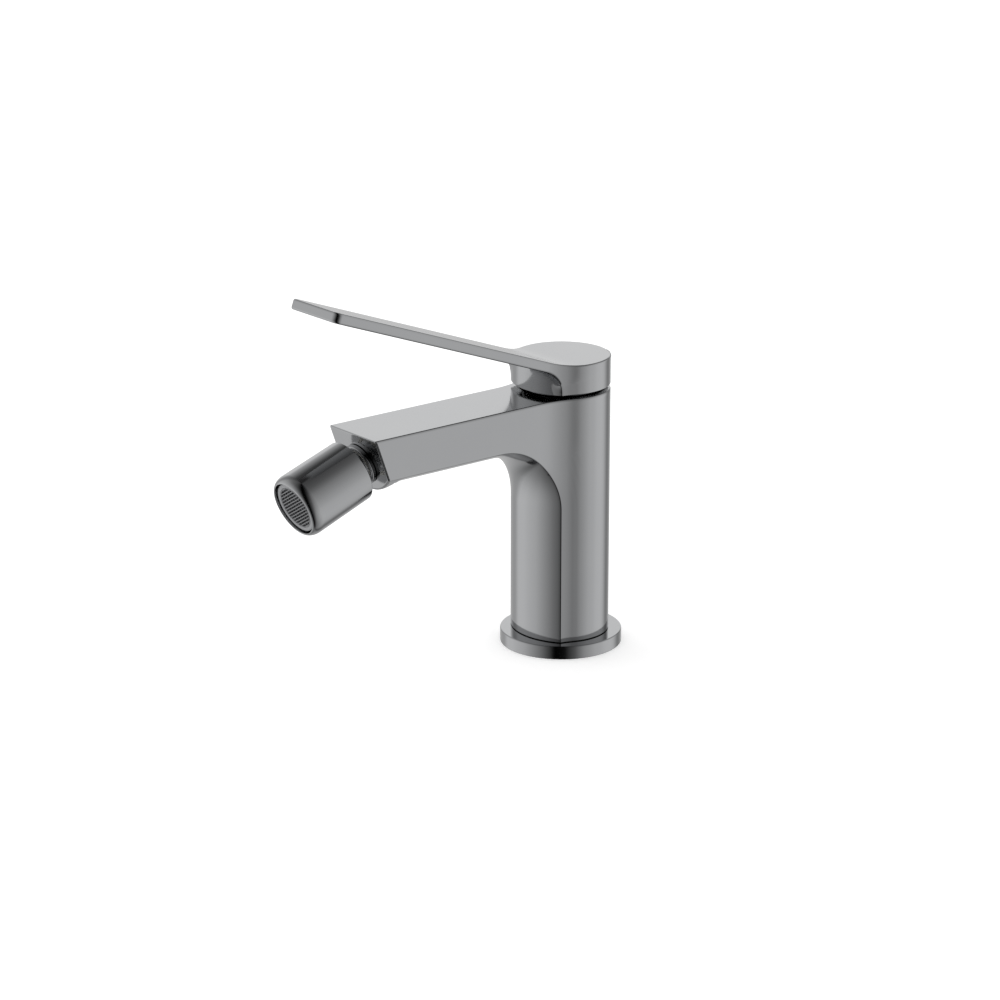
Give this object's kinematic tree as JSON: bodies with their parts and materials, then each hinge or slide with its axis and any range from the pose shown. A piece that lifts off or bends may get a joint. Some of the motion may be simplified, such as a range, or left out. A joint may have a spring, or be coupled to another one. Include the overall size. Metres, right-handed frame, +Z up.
{
  "type": "bidet mixer",
  "caption": "Single-lever bidet mixer: round column with an arched flat-topped spout, long rising lever blade and a ball-joint outlet with an aerator, on a round deck flange.",
  "frame": {"origin": "on the column's axis, in the plane of the deck that the flange stands on", "axes": "+Z up along the column; the spout and the lever point along -Y; +X is to the right seen from behind, with the spout pointing away"},
  "size_m": [0.0536, 0.1742, 0.1735],
  "materials": {
    "gunmetal": "satin gunmetal plating on brass",
    "dark_trim": "black, semi-gloss",
    "bare_brass": "turned, bare",
    "steel": "bright",
    "pale_polymer": "moulded",
    "grey_polymer": "moulded, satin",
    "ceramic": "lapped alumina",
    "black_rubber": "matte"
  },
  "bodies": {
    "mixer_body": {"body": "gunmetal", "base_flange": "gunmetal", "slip_washer": "black_rubber", "deck_seal": "black_rubber", "cartridge_housing": "pale_polymer", "housing_seal": "black_rubber", "cartridge_base": "pale_polymer", "inlet_seals": "black_rubber", "fixed_disc": "ceramic", "cartridge_nut": "bare_brass", "trim_ring": "dark_trim", "ball_stub": "gunmetal", "stub_gasket": "black_rubber", "ball_seal": "black_rubber"},
    "rotor": {"cartridge_rotor": "pale_polymer", "stem_pin": "steel"},
    "lever": {"lever_handle": "gunmetal", "cartridge_stem": "bare_brass", "grub_screw": "steel", "screw_plug": "gunmetal"},
    "valve_carriage": {"moving_disc": "ceramic", "disc_carrier": "pale_polymer"},
    "swivel_ring": {"ball_liner": "pale_polymer"},
    "outlet": {"swivel_housing": "gunmetal", "seat_ring": "pale_polymer", "aerator_washer": "black_rubber", "aerator_cage": "grey_polymer", "jet_diffuser": "pale_polymer", "mesh_screens": "steel", "outlet_grid": "grey_polymer"}
  },
  "joints": [
    {"name": "handle_turn", "type": "hinge", "parent": "mixer_body", "child": "rotor", "pos_m": [0, 0, 0.104], "axis": [0, 0, 1], "range_deg": [-45, 45]},
    {"name": "lever_lift", "type": "hinge", "parent": "rotor", "child": "lever", "pos_m": [0, 0, 0.104], "axis": [-1, 0, 0], "range_deg": [0, 20]},
    {"name": "disc_slide", "type": "slide", "parent": "rotor", "child": "valve_carriage", "axis": [0, -1, 0], "range_m": [0, 0.0042]},
    {"name": "outlet_tilt", "type": "hinge", "parent": "mixer_body", "child": "swivel_ring", "pos_m": [0, -0.11775, 0.09863], "axis": [1, 0, 0], "range_deg": [-12, 12]},
    {"name": "outlet_pan", "type": "hinge", "parent": "swivel_ring", "child": "outlet", "pos_m": [0, -0.11775, 0.09863], "axis": [0, -0.342, 0.9397], "range_deg": [-12, 12]}
  ],
  "couplings": [
    {"joint": "disc_slide", "follows": "lever_lift", "m_per_rad": 0.01199}
  ]
}
